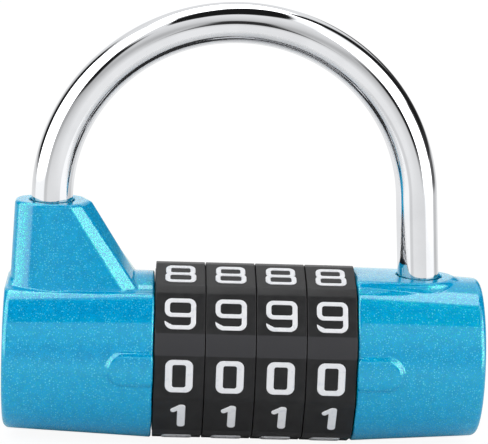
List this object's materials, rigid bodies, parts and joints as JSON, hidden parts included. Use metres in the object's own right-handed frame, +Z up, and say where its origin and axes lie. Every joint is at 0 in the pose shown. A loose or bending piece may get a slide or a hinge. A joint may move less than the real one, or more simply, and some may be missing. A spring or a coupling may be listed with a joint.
{
  "type": "combination padlock",
  "caption": "Combination padlock: a wide round-bar shackle on two tapered painted barrels, with number dials between them that release it.",
  "frame": {"origin": "inside of the shackle's crown, midway between its legs, where the lock hangs on a ring or hasp", "axes": "+X along the dial axis from the horn to the toe, -Y towards the numbers, +Z up through the shackle"},
  "size_m": [0.0767, 0.0289, 0.0713],
  "materials": {
    "blue_paint": "glossy metallic-flake light blue paint under clear coat on die-cast zinc",
    "chrome": "polished chrome plate on steel",
    "black_plastic": "satin black moulded plastic",
    "numeral_white": "white filled numerals",
    "brass": "turned",
    "steel": "plain"
  },
  "bodies": {
    "lock_body": {"left_housing": "blue_paint", "right_housing": "blue_paint", "right_end_cap": "blue_paint", "core_tube": "brass", "core_nut": "brass", "heel_pin": "steel", "bolt_spring": "steel", "click_washer_1": "steel", "click_washer_2": "steel", "click_washer_3": "steel", "click_washer_4": "steel"},
    "shackle": {"shackle": "chrome"},
    "bolt": {"locking_bolt": "steel"},
    "dial_set_1": {"dial_1": "black_plastic", "code_sleeve_1": "brass"},
    "dial_set_2": {"dial_2": "black_plastic", "code_sleeve_2": "brass"},
    "dial_set_3": {"dial_3": "black_plastic", "code_sleeve_3": "brass"},
    "dial_set_4": {"dial_4": "black_plastic", "code_sleeve_4": "brass"}
  },
  "joints": [
    {"name": "shackle_lift", "type": "slide", "parent": "lock_body", "child": "shackle", "axis": [0, 0, 1], "range_m": [0, 0.008]},
    {"name": "bolt_slide", "type": "slide", "parent": "lock_body", "child": "bolt", "axis": [1, 0, 0], "range_m": [0, 0.0024], "deforming": ["bolt_spring"]},
    {"name": "dial_1_turn", "type": "hinge", "parent": "lock_body", "child": "dial_set_1", "pos_m": [0, 0, -0.05031], "axis": [1, 0, 0], "continuous": true, "deforming": ["click_washer_1"]},
    {"name": "dial_2_turn", "type": "hinge", "parent": "lock_body", "child": "dial_set_2", "pos_m": [0, 0, -0.05031], "axis": [1, 0, 0], "continuous": true, "deforming": ["click_washer_2"]},
    {"name": "dial_3_turn", "type": "hinge", "parent": "lock_body", "child": "dial_set_3", "pos_m": [0, 0, -0.05031], "axis": [1, 0, 0], "continuous": true, "deforming": ["click_washer_3"]},
    {"name": "dial_4_turn", "type": "hinge", "parent": "lock_body", "child": "dial_set_4", "pos_m": [0, 0, -0.05031], "axis": [1, 0, 0], "continuous": true, "deforming": ["click_washer_4"]}
  ],
  "couplings": [
    {"joint": "bolt_slide", "follows": "shackle_lift", "ratio": 0.3}
  ]
}
